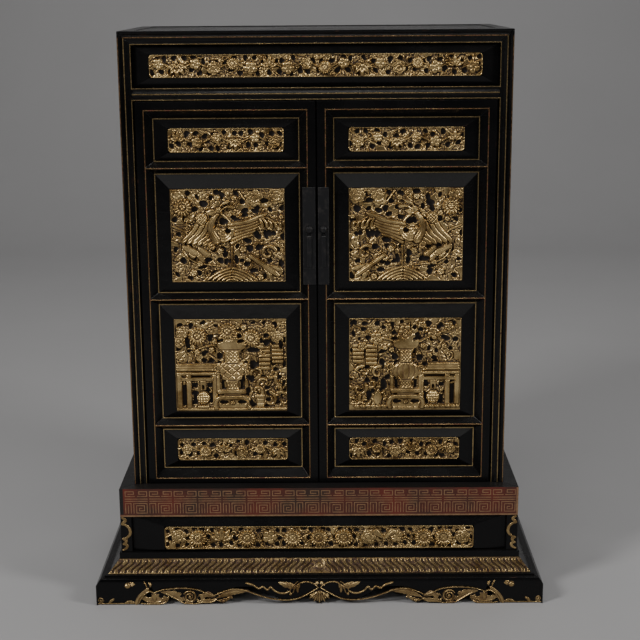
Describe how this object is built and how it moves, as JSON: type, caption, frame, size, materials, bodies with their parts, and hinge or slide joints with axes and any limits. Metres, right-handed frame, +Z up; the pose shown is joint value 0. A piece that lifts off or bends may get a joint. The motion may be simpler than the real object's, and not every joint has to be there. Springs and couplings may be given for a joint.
{
  "type": "shrine cabinet",
  "caption": "Black-lacquered household shrine cabinet with gilt carved panels, two pivoted doors and a stepped plinth with a scalloped apron.",
  "frame": {"origin": "on the floor under the middle of the cabinet's whole depth and width", "axes": "+Z up, -Y out of the front with the doors, +X to the viewer's right"},
  "size_m": [0.604, 0.308, 0.76],
  "materials": {
    "black_lacquer": "black lacquer on wood, satin, with worn gold and red edge lines",
    "worn_gilding": "carved wood gilded over red ground, worn to brown in the hollows",
    "red_fret": "red lacquer with a fret of fine worn gold lines",
    "dark_iron": "dark patinated iron, dull"
  },
  "bodies": {
    "cabinet": {"back_bottom_rail": "black_lacquer", "back_panel": "black_lacquer", "back_top_rail": "black_lacquer", "base_apron_back": "black_lacquer", "base_apron_front": "black_lacquer", "base_apron_left": "black_lacquer", "base_apron_right": "black_lacquer", "floor_board": "black_lacquer", "fret_rail_back": "black_lacquer", "fret_rail_front": "red_fret", "fret_rail_left": "black_lacquer", "fret_rail_right": "black_lacquer", "frieze_bottom_rail": "black_lacquer", "frieze_carving": "worn_gilding", "frieze_panel": "black_lacquer", "frieze_top_rail": "black_lacquer", "petal_moulding_front": "worn_gilding", "petal_moulding_left": "black_lacquer", "petal_moulding_right": "black_lacquer", "post_back_left": "black_lacquer", "post_back_right": "black_lacquer", "post_front_left": "black_lacquer", "post_front_right": "black_lacquer", "side_panel_left": "black_lacquer", "side_panel_right": "black_lacquer", "side_rail_bottom_left": "black_lacquer", "side_rail_bottom_right": "black_lacquer", "side_rail_top_left": "black_lacquer", "side_rail_top_right": "black_lacquer", "top_board": "black_lacquer", "waist_back": "black_lacquer", "waist_carving": "worn_gilding", "waist_front": "black_lacquer", "waist_left": "black_lacquer", "waist_right": "black_lacquer"},
    "door_left": {"door_left_bottom_carving": "worn_gilding", "door_left_bottom_panel": "black_lacquer", "door_left_frame": "black_lacquer", "door_left_lock_boss": "dark_iron", "door_left_lock_plate": "dark_iron", "door_left_phoenix_carving": "worn_gilding", "door_left_phoenix_panel": "black_lacquer", "door_left_top_carving": "worn_gilding", "door_left_top_panel": "black_lacquer", "door_left_vase_carving": "worn_gilding", "door_left_vase_panel": "black_lacquer"},
    "door_right": {"door_right_bottom_carving": "worn_gilding", "door_right_bottom_panel": "black_lacquer", "door_right_frame": "black_lacquer", "door_right_lock_boss": "dark_iron", "door_right_lock_plate": "dark_iron", "door_right_phoenix_carving": "worn_gilding", "door_right_phoenix_panel": "black_lacquer", "door_right_top_carving": "worn_gilding", "door_right_top_panel": "black_lacquer", "door_right_vase_carving": "worn_gilding", "door_right_vase_panel": "black_lacquer"},
    "pull_left": {"door_left_lock_pull": "dark_iron"},
    "pull_right": {"door_right_lock_pull": "dark_iron"}
  },
  "joints": [
    {"name": "door_left_pivot", "type": "hinge", "parent": "cabinet", "child": "door_left", "pos_m": [-0.223, -0.096, 0.1565], "axis": [0, 0, -1], "range_deg": [0, 90]},
    {"name": "door_right_pivot", "type": "hinge", "parent": "cabinet", "child": "door_right", "pos_m": [0.223, -0.096, 0.1565], "axis": [0, 0, 1], "range_deg": [0, 90]},
    {"name": "pull_left_pivot", "type": "hinge", "parent": "door_left", "child": "pull_left", "pos_m": [-0.00995, -0.1057, 0.4967], "axis": [-1, 0, 0], "range_deg": [0, 90]},
    {"name": "pull_right_pivot", "type": "hinge", "parent": "door_right", "child": "pull_right", "pos_m": [0.0087, -0.1057, 0.4967], "axis": [-1, 0, 0], "range_deg": [0, 90]}
  ]
}
